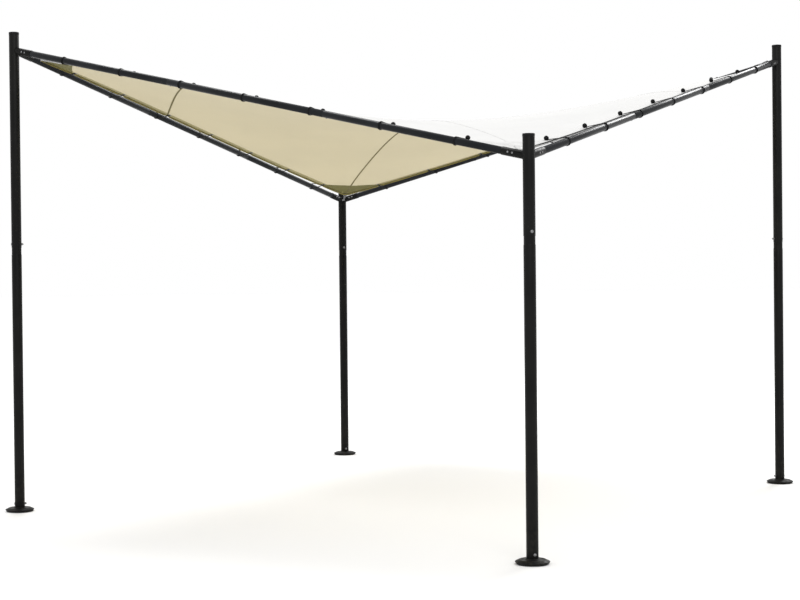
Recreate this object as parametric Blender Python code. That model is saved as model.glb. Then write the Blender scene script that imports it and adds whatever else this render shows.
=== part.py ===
"""Garden pavilion with a butterfly roof.

Four posts stand on round feet, two high ones at the left and right corners and two low ones at the
front and back. A straight rail slopes from each high post to each low one. One saddle-shaped cloth
hangs inside the four rails, on corner ties and on ball bungees that loop round the rails.

The origin is the middle of the footprint on the ground, with +Z up and the sides along X and Y.
"""

import math

import bmesh
import bpy
from mathutils import Matrix, Vector

# Driving dimensions, in metres
SIDE = 3.500                 # between the axes of neighbouring posts
LOW_JOINT = 1.990            # height at which the rails' axes meet a low post's axis
HIGH_JOINT = 2.795           # the same on a high post
POST_ABOVE_JOINT = 0.110     # post that stands above the joint
POST_SPLIT = 1.600           # height of the upper post tube's lower end
NECK_BOTTOM = 1.556          # height at which the lower tube is drawn in to a neck
NECK_RADIUS = 0.0287
POST_RADIUS = 0.0300
POST_WALL = 0.0020
RAIL_RADIUS = 0.0190
RAIL_WALL = 0.0018
SOCKET_WALL = 0.0017
SOCKET_REACH = 0.150         # from the post's axis to the mouth of a rail socket
FIT = 0.0003                 # gap between faces that touch

FOOT_RADIUS = 0.0860
FOOT_BASE_RADIUS = 0.0760    # flat underside
FOOT_EDGE_LOW = 0.011        # lower and upper end of the foot's outermost band
FOOT_EDGE_HIGH = 0.014
FOOT_SHOULDER_RADIUS = 0.0660
FOOT_SHOULDER = 0.0235       # height of the ridge round the foot's top
FOOT_CROWN = 0.0245
FOOT_FLOOR = 0.006           # inside the spigot
FOOT_COLLAR_RADIUS = 0.036
FOOT_SPIGOT_TOP = 0.100
POST_SPIGOT = 0.100          # reduced end of the lower tube, inside the upper one
RAIL_SPIGOT = 0.060          # reduced end of a rail section, inside the next one
RAIL_INSET = 0.050           # from the post's axis to the rail's end inside its socket

CLOTH_INSET = 0.085          # from the rail's axis to the cloth's edge
CLOTH_THICKNESS = 0.003
CORNER_INSET = 0.106         # from the post's axis to the middle of the cut corner, along X and Y
CLOTH_CELLS = 18
CLOTH_SAG = 0.0289           # how far the middle of the cloth hangs below the pure saddle
CLOTH_PULL = 0.0645          # extra twist of the cloth away from the rails, per metre

BUNGEES_PER_SIDE = 7
BUNGEE_SPACING = 0.1275      # as a share of the rail, from one bungee to the next
EYELET_INSET = 0.115         # from the rail's axis to the eyelet's centre
EYELET_RADIUS = 0.007
BALL_RADIUS = 0.013
BALL_LIFT = 0.0116           # ball's centre above the cloth
BAND_WIDTH = 0.009
BAND_THICKNESS = 0.0045
BAND_END_RADIUS = 0.0045
BAND_CLEARANCE = 0.00085     # keeps the flats of the loop off the round rail

TIE_START = 0.0333           # from the post's axis to the eye bolt's end, just clear of both sockets
TIE_EYE_DISTANCE = 0.054     # from the post's axis to the eye of the eye bolt
TIE_SHANK_RADIUS = 0.004
TIE_EYE_RADIUS = 0.0095
TIE_RING_RADIUS = 0.0140
TIE_WIRE_RADIUS = 0.0030
TIE_LINK_HALF_WIDTH = 0.0095
TIE_BITE = 0.00475           # between the middles of two wires that hang in each other

POST_SIDES = 24
RAIL_SIDES = 16
BALL_SEGMENTS = 8
BALL_RINGS = 6

# Where each corner lies: the signs of its X and Y
CORNERS = {"left": (-1, -1), "right": (1, 1), "front": (1, -1), "back": (-1, 1)}
HIGH_CORNERS = ("left", "right")
LOW_CORNERS = ("front", "back")

HALF = SIDE / 2
MIDDLE_HEIGHT = (LOW_JOINT + HIGH_JOINT) / 2
TWIST = (HIGH_JOINT - LOW_JOINT) / 2 / HALF**2
SOCKET_RADIUS = RAIL_RADIUS + FIT + SOCKET_WALL
UP = Vector((0, 0, 1))


def make_material(name, color, roughness, metallic=0.0):
    material = bpy.data.materials.new(name)
    material.use_nodes = True
    shader = material.node_tree.nodes["Principled BSDF"]
    shader.inputs["Base Color"].default_value = (*color, 1.0)
    shader.inputs["Roughness"].default_value = roughness
    shader.inputs["Metallic"].default_value = metallic
    material.diffuse_color = (*color, 1.0)
    return material


def add_object(name, bm, material, smooth=True):
    """Turns a bmesh into a named object with its faces pointing out."""
    bmesh.ops.recalc_face_normals(bm, faces=bm.faces)
    mesh = bpy.data.meshes.new(name)
    bm.to_mesh(mesh)
    bm.free()
    if smooth:
        mesh.shade_smooth()
        mesh.set_sharp_from_angle(angle=math.radians(35))
    mesh.materials.append(material)
    piece = bpy.data.objects.new(name, mesh)
    bpy.context.scene.collection.objects.link(piece)
    return piece


def cut_or_join(piece, tool, operation):
    """Adds a Boolean that uses tool, which is then only a guide."""
    boolean = piece.modifiers.new(tool.name, "BOOLEAN")
    boolean.operation = operation
    boolean.object = tool
    boolean.solver = "EXACT"
    tool.hide_render = True
    tool.display_type = "WIRE"


def turned(name, profile, sides, material, closed=True):
    """A profile of (radius, height) points turned round Z. An open profile starts and ends on the axis."""
    bm = bmesh.new()
    points = [bm.verts.new((radius, 0, height)) for radius, height in profile]
    pairs = list(zip(points, points[1:]))
    if closed:
        pairs.append((points[-1], points[0]))
    edges = [bm.edges.new(pair) for pair in pairs]
    bmesh.ops.spin(
        bm, geom=points + edges, cent=(0, 0, 0), axis=UP, angle=math.tau, steps=sides, use_merge=True
    )
    bmesh.ops.remove_doubles(bm, verts=bm.verts, dist=1e-6)
    return add_object(name, bm, material)


def ring(name, radius, wire, material, stretch=0.0, segments=12, sides=6):
    """A wire ring in the XZ plane. With a stretch it is a long link whose ends lie that far apart."""
    bm = bmesh.new()
    section = bmesh.ops.create_circle(bm, segments=sides, radius=wire)["verts"]
    bmesh.ops.translate(bm, verts=section, vec=(radius, 0, 0))
    section_edges = list({edge for vert in section for edge in vert.link_edges})
    bmesh.ops.spin(
        bm, geom=section + section_edges, cent=(0, 0, 0), axis=(0, 1, 0),
        angle=math.tau, steps=segments, use_merge=True,
    )
    bmesh.ops.rotate(bm, verts=bm.verts, cent=(0, 0, 0), matrix=Matrix.Rotation(math.pi / segments, 3, "Y"))
    for vert in bm.verts:
        if stretch and vert.co.x > 0:
            vert.co.x += stretch
    return add_object(name, bm, material)


def axes_matrix(origin, x_axis, z_axis):
    """Places a piece with its X along x_axis and its Z along z_axis, which are square to each other."""
    z_axis = z_axis.normalized()
    x_axis = x_axis.normalized()
    y_axis = z_axis.cross(x_axis)
    placed = Matrix((x_axis, y_axis, z_axis)).transposed().to_4x4()
    placed.translation = origin
    return placed


def joint_point(corner):
    """The point where the rails' axes meet a post's axis."""
    sign_x, sign_y = CORNERS[corner]
    height = HIGH_JOINT if corner in HIGH_CORNERS else LOW_JOINT
    return Vector((sign_x * HALF, sign_y * HALF, height))


def cloth_height(x, y):
    """A saddle through the rails' axes that sags in the middle and is pulled towards the corners."""
    inside = (1 - (x / HALF) ** 2) * (1 - (y / HALF) ** 2)
    return MIDDLE_HEIGHT + TWIST * x * y + inside * (CLOTH_PULL * x * y - CLOTH_SAG)


def rail_axes(high, low):
    """A rail's start, its direction down to the low post, its length and the level way to the middle."""
    start, end = joint_point(high), joint_point(low)
    along = (end - start).normalized()
    middle = (start + end) / 2
    inboard = Vector((0 if abs(middle.x) < 1e-6 else -middle.x, 0 if abs(middle.y) < 1e-6 else -middle.y, 0))
    return start, along, (end - start).length, inboard.normalized()


def make_foot(corner, material):
    """A thick round foot with a sloping edge and a spigot that stands inside the post."""
    outer = POST_RADIUS - POST_WALL - FIT
    profile = [
        (0, 0),
        (FOOT_BASE_RADIUS, 0),
        (FOOT_RADIUS, FOOT_EDGE_LOW),
        (FOOT_RADIUS, FOOT_EDGE_HIGH),
        (FOOT_SHOULDER_RADIUS, FOOT_SHOULDER),
        (FOOT_COLLAR_RADIUS, FOOT_CROWN),
        (outer, FOOT_CROWN),
        (outer, FOOT_SPIGOT_TOP),
        (outer - POST_WALL, FOOT_SPIGOT_TOP),
        (outer - POST_WALL, FOOT_FLOOR),
        (0, FOOT_FLOOR),
    ]
    foot = turned(f"foot_{corner}", profile, POST_SIDES, material, closed=False)
    sign_x, sign_y = CORNERS[corner]
    foot.location = (sign_x * HALF, sign_y * HALF, 0)


def make_lower_post(corner, material):
    """The lower tube, whose top end is drawn in to a short neck and then to a spigot for the upper tube."""
    inner = POST_RADIUS - POST_WALL
    spigot = inner - FIT
    bottom = FOOT_CROWN + FIT
    profile = [
        (POST_RADIUS, bottom),
        (POST_RADIUS, NECK_BOTTOM),
        (NECK_RADIUS, NECK_BOTTOM + POST_WALL),
        (NECK_RADIUS, POST_SPLIT),
        (spigot, POST_SPLIT),
        (spigot, POST_SPLIT + POST_SPIGOT),
        (spigot - POST_WALL, POST_SPLIT + POST_SPIGOT),
        (spigot - POST_WALL, NECK_BOTTOM),
        (inner, NECK_BOTTOM - 2 * POST_WALL),
        (inner, bottom),
    ]
    post = turned(f"lower_post_{corner}", profile, POST_SIDES, material)
    sign_x, sign_y = CORNERS[corner]
    post.location = (sign_x * HALF, sign_y * HALF, 0)


def make_upper_post(corner, material):
    """The upper tube, closed on top, with two welded sockets that point down or up along the rails."""
    joint = joint_point(corner)
    base = Vector((joint.x, joint.y, 0))
    bottom = POST_SPLIT + FIT
    top = joint.z + POST_ABOVE_JOINT
    inner = POST_RADIUS - POST_WALL
    outside = [(0, bottom), (POST_RADIUS, bottom), (POST_RADIUS, top), (0, top)]
    post = turned(f"upper_post_{corner}", outside, POST_SIDES, material, closed=False)
    post.location = base
    others = LOW_CORNERS if corner in HIGH_CORNERS else HIGH_CORNERS
    bores = []
    for other in others:
        along = (joint_point(other) - joint).normalized()
        turn = axes_matrix(joint, along.cross(UP), along)
        sleeve_profile = [(0, 0), (SOCKET_RADIUS, 0), (SOCKET_RADIUS, SOCKET_REACH), (0, SOCKET_REACH)]
        sleeve = turned(f"guide_sleeve_{corner}_{other}", sleeve_profile, RAIL_SIDES, material, closed=False)
        sleeve.matrix_world = turn
        cut_or_join(post, sleeve, "UNION")
        bore_radius = RAIL_RADIUS + FIT
        bore_start = RAIL_INSET - FIT
        bore_end = SOCKET_REACH + POST_RADIUS
        bore_profile = [(0, bore_start), (bore_radius, bore_start), (bore_radius, bore_end), (0, bore_end)]
        bore = turned(f"guide_bore_{corner}_{other}", bore_profile, RAIL_SIDES, material, closed=False)
        bore.matrix_world = turn
        bores.append(bore)
    hollow_profile = [(0, bottom - POST_RADIUS), (inner, bottom - POST_RADIUS), (inner, top - POST_WALL),
                      (0, top - POST_WALL)]
    hollow = turned(f"guide_hollow_{corner}", hollow_profile, POST_SIDES, material, closed=False)
    hollow.location = base
    for tool in (hollow, *bores):
        cut_or_join(post, tool, "DIFFERENCE")


def make_rail(high, low, material):
    """Three equal tubes in line. The two upper ones end in a spigot inside the next tube down."""
    start, along, length, inboard = rail_axes(high, low)
    inner = RAIL_RADIUS - RAIL_WALL
    spigot = inner - FIT
    third = (length - 2 * SOCKET_REACH) / 3
    splits = [RAIL_INSET, SOCKET_REACH + third, SOCKET_REACH + 2 * third, length - RAIL_INSET]
    for number, part in enumerate(("high", "middle", "low")):
        top = splits[number] + (FIT if number else 0)
        end = splits[number + 1]
        if part == "low":
            profile = [(RAIL_RADIUS, top), (RAIL_RADIUS, end), (inner, end), (inner, top)]
        else:
            profile = [
                (RAIL_RADIUS, top),
                (RAIL_RADIUS, end),
                (spigot, end),
                (spigot, end + RAIL_SPIGOT),
                (spigot - RAIL_WALL, end + RAIL_SPIGOT),
                (spigot - RAIL_WALL, end - RAIL_WALL),
                (inner, end - 3 * RAIL_WALL),
                (inner, top),
            ]
        tube = turned(f"rail_{high}_{low}_{part}", profile, RAIL_SIDES, material)
        tube.matrix_world = axes_matrix(start, inboard, along)


def bungee_axes(high, low, number):
    """The frame of one bungee: origin on the rail's axis, X to its eyelet along the cloth, Z along the rail."""
    start, along, length, inboard = rail_axes(high, low)
    share = 0.5 + (number - (BUNGEES_PER_SIDE + 1) / 2) * BUNGEE_SPACING
    origin = start + along * length * share
    square_up = inboard.cross(along)
    if square_up.z < 0:
        square_up.negate()
    rise = 0.0
    for _ in range(6):
        point = origin + inboard * EYELET_INSET + square_up * rise
        rise += (cloth_height(point.x, point.y) - point.z) / square_up.z
    to_eyelet = (inboard * EYELET_INSET + square_up * rise).normalized()
    z_axis = to_eyelet.cross(square_up)
    return axes_matrix(origin, to_eyelet, z_axis)


def arc_points(centre_x, radius, first, last, steps):
    """Points (x, y, nx, ny) on an arc, with the way out from its centre."""
    points = []
    for step in range(steps + 1):
        angle = first + (last - first) * step / steps
        points.append((centre_x + radius * math.cos(angle), radius * math.sin(angle), math.cos(angle), math.sin(angle)))
    return points


def make_bungee(high, low, number, material):
    """A flat double cord that runs round the rail and through the eyelet, fused to its ball."""
    rail_arc = RAIL_RADIUS + BAND_CLEARANCE + BAND_THICKNESS / 2
    end_x = EYELET_INSET - BAND_END_RADIUS
    lean = math.acos((rail_arc - BAND_END_RADIUS) / end_x)
    route = arc_points(0, rail_arc, lean, math.tau - lean, 7)
    route += arc_points(end_x, BAND_END_RADIUS, -lean, lean, 3)
    bm = bmesh.new()
    half = BAND_THICKNESS / 2
    floor = -BAND_WIDTH / 2
    outer = [bm.verts.new((x + nx * half, y + ny * half, floor)) for x, y, nx, ny in route]
    inner = [bm.verts.new((x - nx * half, y - ny * half, floor)) for x, y, nx, ny in route]
    for index, vert in enumerate(outer):
        after = (index + 1) % len(outer)
        bm.faces.new((vert, outer[after], inner[after], inner[index]))
    raised = bmesh.ops.extrude_face_region(bm, geom=list(bm.faces))["geom"]
    raised_verts = [item for item in raised if isinstance(item, bmesh.types.BMVert)]
    bmesh.ops.translate(bm, verts=raised_verts, vec=(0, 0, BAND_WIDTH))
    name = f"bungee_{high}_{low}_{number}"
    band = add_object(name, bm, material)
    placed = bungee_axes(high, low, number)
    band.matrix_world = placed

    ball_mesh = bmesh.new()
    bmesh.ops.create_uvsphere(ball_mesh, u_segments=BALL_SEGMENTS, v_segments=BALL_RINGS, radius=BALL_RADIUS)
    ball = add_object(f"guide_ball_{high}_{low}_{number}", ball_mesh, material)
    ball.matrix_world = placed @ Matrix.Translation((EYELET_INSET, CLOTH_THICKNESS / 2 + BALL_LIFT, 0))
    cut_or_join(band, ball, "UNION")


def make_canopy(sides, material):
    """The cloth: a saddle with cut corners and an eyelet for each bungee."""
    edge = HALF - CLOTH_INSET
    cut = Vector((1, 1, 0)).normalized()
    bm = bmesh.new()
    bmesh.ops.create_grid(bm, x_segments=CLOTH_CELLS, y_segments=CLOTH_CELLS, size=edge)
    for sign_x, sign_y in CORNERS.values():
        tip = Vector((sign_x * (HALF - CORNER_INSET), sign_y * (HALF - CORNER_INSET), 0))
        normal = Vector((sign_x * cut.x, sign_y * cut.y, 0))
        bmesh.ops.bisect_plane(
            bm, geom=list(bm.verts) + list(bm.edges) + list(bm.faces),
            dist=1e-6, plane_co=tip, plane_no=normal, clear_outer=True,
        )
    bmesh.ops.triangulate(bm, faces=bm.faces)
    for vert in bm.verts:
        vert.co.z = cloth_height(vert.co.x, vert.co.y) - CLOTH_THICKNESS / 2
    raised = bmesh.ops.extrude_face_region(bm, geom=list(bm.faces))["geom"]
    raised_verts = [item for item in raised if isinstance(item, bmesh.types.BMVert)]
    bmesh.ops.translate(bm, verts=raised_verts, vec=(0, 0, CLOTH_THICKNESS))
    canopy = add_object("canopy", bm, material)

    holes = bmesh.new()
    reach = 4 * CLOTH_THICKNESS
    for high, low in sides:
        for number in range(1, BUNGEES_PER_SIDE + 1):
            placed = bungee_axes(high, low, number)
            turn = placed @ Matrix.Translation((EYELET_INSET, 0, 0)) @ Matrix.Rotation(math.pi / 2, 4, "X")
            bmesh.ops.create_cone(
                holes, cap_ends=True, segments=8, radius1=EYELET_RADIUS, radius2=EYELET_RADIUS,
                depth=reach, matrix=turn,
            )
    cut_or_join(canopy, add_object("guide_eyelets", holes, material), "DIFFERENCE")


def make_corner_tie(corner, material):
    """An eye bolt, a long link and the ring at the cloth's corner, fused in line."""
    joint = joint_point(corner)
    sign_x, sign_y = CORNERS[corner]
    level = Vector((-sign_x, -sign_y, 0)).normalized()
    tip_xy = HALF - CORNER_INSET
    tip = Vector((sign_x * tip_xy, sign_y * tip_xy, cloth_height(sign_x * tip_xy, sign_y * tip_xy)))
    eye = joint + level * TIE_EYE_DISTANCE
    along = (tip - eye).normalized()
    flat_side = UP.cross(along).normalized()
    ring_centre = tip - along * (TIE_RING_RADIUS + TIE_WIRE_RADIUS + FIT)

    shank_end = TIE_EYE_DISTANCE - TIE_EYE_RADIUS + TIE_WIRE_RADIUS / 2
    shank_profile = [(0, TIE_START), (TIE_SHANK_RADIUS, TIE_START), (TIE_SHANK_RADIUS, shank_end), (0, shank_end)]
    tie = turned(f"corner_tie_{corner}", shank_profile, 8, material, closed=False)
    tie.matrix_world = axes_matrix(joint, level.cross(UP), level)

    eye_ring = ring(f"guide_eye_{corner}", TIE_EYE_RADIUS, TIE_WIRE_RADIUS, material)
    eye_ring.matrix_world = axes_matrix(eye, level, flat_side)
    link_near = TIE_EYE_RADIUS - TIE_BITE
    link_far = (ring_centre - eye).length - TIE_RING_RADIUS + TIE_BITE
    stretch = link_far - link_near - 2 * TIE_LINK_HALF_WIDTH
    link = ring(f"guide_link_{corner}", TIE_LINK_HALF_WIDTH, TIE_WIRE_RADIUS, material, stretch=stretch)
    link.matrix_world = axes_matrix(eye + along * (link_near + TIE_LINK_HALF_WIDTH), along, along.cross(flat_side))
    end_ring = ring(f"guide_ring_{corner}", TIE_RING_RADIUS, TIE_WIRE_RADIUS, material)
    end_ring.matrix_world = axes_matrix(ring_centre, along, flat_side)
    for tool in (eye_ring, link, end_ring):
        cut_or_join(tie, tool, "UNION")


def main():
    for item in list(bpy.data.objects):
        bpy.data.objects.remove(item)
    black = make_material("black_powder_coat", (0.012, 0.012, 0.013), 0.42, 0.2)
    anthracite = make_material("anthracite_powder_coat", (0.028, 0.031, 0.035), 0.34, 0.3)
    beige = make_material("beige_polyester", (0.66, 0.58, 0.38), 0.85)
    rubber = make_material("black_elastic", (0.015, 0.015, 0.016), 0.6)
    steel = make_material("zinc_steel", (0.55, 0.56, 0.58), 0.35, 1.0)
    sides = [(high, low) for high in HIGH_CORNERS for low in LOW_CORNERS]
    for corner in CORNERS:
        make_foot(corner, black)
        make_lower_post(corner, black)
        make_upper_post(corner, black)
        make_corner_tie(corner, steel)
    for high, low in sides:
        make_rail(high, low, anthracite)
        for number in range(1, BUNGEES_PER_SIDE + 1):
            make_bungee(high, low, number, rubber)
    make_canopy(sides, beige)


main()
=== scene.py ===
"""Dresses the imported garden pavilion: painted tubes, stretched cloth, elastic ties and steel fittings.

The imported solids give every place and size. Each new piece is a mesh in the same frame, in metres, with its
place in its vertices. The left and right posts are high, the front and back posts are low, and the cloth is
a saddle between the four straight rails.
"""

import math

import bmesh
import bpy
from bpy.props import FloatProperty, FloatVectorProperty, PointerProperty
from mathutils import Matrix, Vector


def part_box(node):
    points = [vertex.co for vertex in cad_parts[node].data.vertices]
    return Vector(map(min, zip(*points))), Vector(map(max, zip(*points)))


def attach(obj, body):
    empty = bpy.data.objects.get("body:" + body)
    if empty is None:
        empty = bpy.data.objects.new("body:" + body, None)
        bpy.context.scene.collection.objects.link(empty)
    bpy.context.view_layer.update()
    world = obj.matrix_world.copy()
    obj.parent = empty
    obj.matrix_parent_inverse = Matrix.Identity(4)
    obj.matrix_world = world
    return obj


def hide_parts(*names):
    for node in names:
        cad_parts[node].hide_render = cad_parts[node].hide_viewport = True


bl_info = {
    "name": "Garden Pavilion",
    "version": (1, 0, 0),
    "blender": (4, 5, 0),
    "location": "View3D > Sidebar > Pavilion",
    "description": "Dresses a garden pavilion with a saddle-shaped cloth roof",
    "category": "Object",
}

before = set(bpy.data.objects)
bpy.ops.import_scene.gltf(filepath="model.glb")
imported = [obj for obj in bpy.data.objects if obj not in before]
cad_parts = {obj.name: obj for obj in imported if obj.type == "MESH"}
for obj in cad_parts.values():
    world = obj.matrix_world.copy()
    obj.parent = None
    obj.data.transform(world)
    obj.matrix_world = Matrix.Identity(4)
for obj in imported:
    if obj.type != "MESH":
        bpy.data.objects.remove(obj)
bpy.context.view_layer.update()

CORNERS = {"left": (-1, -1), "right": (1, 1), "front": (1, -1), "back": (-1, 1)}
HIGH_CORNERS = ("left", "right")
LOW_CORNERS = ("front", "back")
RAILS = [(high, low) for high in HIGH_CORNERS for low in LOW_CORNERS]
RAIL_PARTS = ("high", "middle", "low")
BUNGEES = range(1, 8)
UP = Vector((0, 0, 1))

# Walls and gaps too small to be a user's choice
POST_WALL = 0.002
RAIL_WALL = 0.0018
SLIDE_GAP = 0.0003
TUBE_BEVEL = 0.0006
SHARP_ANGLE = math.radians(40)

# Soft folds that run in from the corners, and the slack edge between two bungees
FOLD_DEPTH = 0.0022
FOLD_REACH = 0.42
FOLD_COUNT = 13
FOLD_START = 0.3
FLUTTER_DEPTH = 0.0016
FLUTTER_REACH = 0.10

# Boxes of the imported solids, from which the sizes take their defaults
POST_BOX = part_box("lower_post_right")
FOOT_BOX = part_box("foot_right")
HIGH_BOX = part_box("upper_post_right")
LOW_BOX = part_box("upper_post_front")
RAIL_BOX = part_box("rail_left_front_middle")
CLOTH_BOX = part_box("canopy")


def length(name, description, default):
    return FloatProperty(name=name, description=description, default=default, unit="LENGTH", precision=4)


def paint(name, description, default):
    return FloatVectorProperty(
        name=name, description=description, default=default, size=3, subtype="COLOR", min=0.0, max=1.0
    )


class PavilionSizes(bpy.types.PropertyGroup):
    half_side: length("Half side", "From the middle to a post's axis", (POST_BOX[0].x + POST_BOX[1].x) / 2)
    post_radius: length("Post radius", "Outside of the posts", (POST_BOX[1].x - POST_BOX[0].x) / 2)
    post_split: length("Post joint", "Height of the upper tube's lower end", HIGH_BOX[0].z)
    neck_bottom: length("Neck", "Height at which the lower tube is drawn in", 1.556)
    neck_radius: length("Neck radius", "Outside of the neck", 0.0287)
    high_top: length("High post top", "Height of the left and right posts", HIGH_BOX[1].z)
    low_top: length("Low post top", "Height of the front and back posts", LOW_BOX[1].z)
    above_joint: length("Post above joint", "Post above the rails' axes", 0.110)
    foot_radius: length("Foot radius", "Outside of a foot", (FOOT_BOX[1].x - FOOT_BOX[0].x) / 2)
    foot_base: length("Foot base", "Radius of a foot's flat underside", 0.076)
    foot_shoulder: length("Foot shoulder", "Radius of the ridge round a foot's top", 0.066)
    foot_crown: length("Foot crown", "Height of the foot at the post", 0.0245)
    rail_radius: length("Rail radius", "Outside of the rails", (RAIL_BOX[1].y - RAIL_BOX[0].y) / 2)
    socket_wall: length("Socket wall", "Wall of the rail sockets", 0.0017)
    socket_reach: length("Socket reach", "From the post's axis to the socket's mouth", 0.150)
    cloth_edge: length("Cloth edge", "From the middle to the cloth's edge", CLOTH_BOX[1].x)
    corner_inset: length("Corner inset", "From the post's axis to the cut corner, along X", 0.106)
    eyelet_inset: length("Eyelet inset", "From the rail's axis to an eyelet", 0.115)
    eyelet_radius: length("Eyelet radius", "Hole of an eyelet", 0.006)
    ball_radius: length("Ball radius", "Ball of a bungee", 0.013)
    cord_radius: length("Cord radius", "Elastic cord of a bungee", 0.0021)
    cloth_thickness: length("Cloth thickness", "One layer of cloth", 0.0008)
    cloth_sag: length("Cloth sag", "How far the cloth's middle hangs below a pure saddle", 0.0289)
    hem_width: length("Hem width", "Doubled cloth along each side", 0.048)
    scallop: length("Scallop", "How far the edge draws in between two bungees", 0.007)
    edge_cord: length("Edge cord", "Half the width of the corded edge", 0.0045)
    flap_height: length("Flap height", "Hem that hangs below the cloth's edge", 0.0110)
    seam_offset: length("Seam offset", "From the middle seam to each outer one", 1.485)
    seam_width: length("Seam width", "Width of a sewn seam", 0.0095)
    patch_high: length("High corner patch", "Depth of the patch in a high corner", 0.204)
    patch_low: length("Low corner patch", "Depth of the patch in a low corner", 0.225)
    cloth_pull: FloatProperty(
        name="Cloth pull", description="Extra twist of the cloth, per metre", default=0.0645
    )
    bungee_spacing: FloatProperty(
        name="Bungee spacing", description="Share of a rail between two bungees",
        default=0.1275, subtype="FACTOR",
    )
    bolt_turn: FloatProperty(
        name="Bolt turn", description="How far the low posts' bolts are off the diagonal",
        default=math.radians(8), subtype="ANGLE", unit="ROTATION",
    )


class PavilionColours(bpy.types.PropertyGroup):
    post_paint: paint("Post paint", "Black powder coat of the posts", (0.0050, 0.0050, 0.0047))
    rail_paint: paint("Rail paint", "Anthracite powder coat of the rails", (0.0105, 0.0115, 0.0130))
    # Painted light: the underside's beige stands in for daylight shining through the pale cloth.
    cloth_under: paint("Cloth, underside", "Cloth seen from below", (0.520, 0.453, 0.281))
    cloth_top: paint("Cloth, top", "Cloth seen from above", (0.540, 0.538, 0.530))
    # Painted shade: patches, hem and seams are doubled cloth. From below they are painted darker, where two
    # layers let less daylight through. From above they use the cloth's top colour.
    olive: paint("Olive", "Corner patches seen from below", (0.122, 0.110, 0.031))
    hem: paint("Hem", "Doubled cloth seen from below", (0.230, 0.195, 0.062))
    seam: paint("Seam", "Sewn seams seen from below", (0.120, 0.100, 0.036))
    edge_cord: paint("Edge cord", "Cord sewn into the cloth's edge", (0.0300, 0.0300, 0.0290))
    # Painted shade: the dark tab colour is how the tab looks from below.
    webbing: paint("Webbing", "Tab that holds the ring to the corner patch", (0.0200, 0.0190, 0.0110))
    elastic: paint("Elastic", "Braided cord of the bungees", (0.0040, 0.0040, 0.0042))
    ball: paint("Ball", "Moulded ball of the bungees", (0.0050, 0.0050, 0.0052))
    cap: paint("Cap", "Moulded cap on each post", (0.0026, 0.0026, 0.0027))
    zinc: paint("Zinc", "Bolts, rings and hooks", (0.260, 0.262, 0.265))
    floor: paint("Floor", "Studio floor", (0.860, 0.860, 0.860))


# Shader maths as plain expressions


def maths(operation):
    """A method that adds one Math node for a wire and what it is given."""
    return lambda self, *others: self.math(operation, self, *others)


def reflected(operation):
    """The same for a wire that stands on the right of an operator."""
    return lambda self, other: self.math(operation, other, self)


class Wire:
    """One output socket. An expression on wires and numbers adds the Math nodes it needs."""

    def __init__(self, graph, socket):
        self.graph = graph
        self.socket = socket

    def math(self, operation, *values):
        return self.graph.node("ShaderNodeMath", {"operation": operation}, dict(enumerate(values)))

    __add__, __radd__ = maths("ADD"), reflected("ADD")
    __sub__, __rsub__ = maths("SUBTRACT"), reflected("SUBTRACT")
    __mul__, __rmul__ = maths("MULTIPLY"), reflected("MULTIPLY")
    __pow__ = maths("POWER")
    __abs__ = maths("ABSOLUTE")
    sin = maths("SINE")
    higher = maths("MAXIMUM")
    lower = maths("MINIMUM")

    def between(self, start, end):
        """0 below start, 1 above end and smooth in between."""
        return self.graph.node("ShaderNodeMapRange", {"interpolation_type": "SMOOTHSTEP"},
                               {"Value": self, "From Min": start, "From Max": end})


class Graph:
    """The nodes of one material."""

    def __init__(self, name):
        self.material = bpy.data.materials.new(name)
        self.material.use_nodes = True
        self.tree = self.material.node_tree
        self.tree.nodes.clear()

    def node(self, kind, settings=None, inputs=None, output=0):
        """Adds a node, sets its settings and then its sockets, and returns one of its outputs."""
        made = self.tree.nodes.new(kind)
        for name, value in (settings or {}).items():
            setattr(made, name, value)
        for name, value in (inputs or {}).items():
            socket = made.inputs[name]
            if isinstance(value, Wire):
                self.tree.links.new(value.socket, socket)
            elif socket.type == "RGBA":
                socket.default_value = (*value, 1.0)
            else:
                socket.default_value = value
        return Wire(self, made.outputs[output]) if made.outputs else None

    def place(self, source="Object"):
        """The point on the surface, in metres, or its place on the piece's own UV map."""
        return self.node("ShaderNodeTexCoord", output=source)

    def split(self, vector):
        parts = self.node("ShaderNodeSeparateXYZ", inputs={0: vector}).socket.node.outputs
        return [Wire(self, part) for part in parts]

    def noise(self, vector, scale, detail=2.0):
        return self.node("ShaderNodeTexNoise", inputs={"Vector": vector, "Scale": scale, "Detail": detail})

    def streaks(self, vector, scale, detail=2.0):
        """Noise with its own scale along each axis."""
        stretched = self.node("ShaderNodeMapping", inputs={"Vector": vector, "Scale": scale})
        return self.noise(stretched, 1.0, detail)

    def mix(self, factor, first, second):
        """Mixes two colours."""
        return self.node("ShaderNodeMix", {"data_type": "RGBA"}, {0: factor, 6: first, 7: second}, output=2)

    def shades(self, factor, colour, first, second):
        """Runs from one share of a colour to another."""
        return self.mix(factor, scaled(colour, first), scaled(colour, second))

    def bump(self, height, distance, strength, **under):
        inputs = {"Height": height, "Distance": distance, "Strength": strength, **under}
        return self.node("ShaderNodeBump", inputs=inputs)

    def finish(self, sockets):
        """Closes the material with one Principled shader."""
        shader = self.node("ShaderNodeBsdfPrincipled", inputs=sockets)
        self.node("ShaderNodeOutputMaterial", inputs={"Surface": shader})
        return self.material


def scaled(colour, factor):
    return tuple(min(1.0, part * factor) for part in colour)


# Materials


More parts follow.
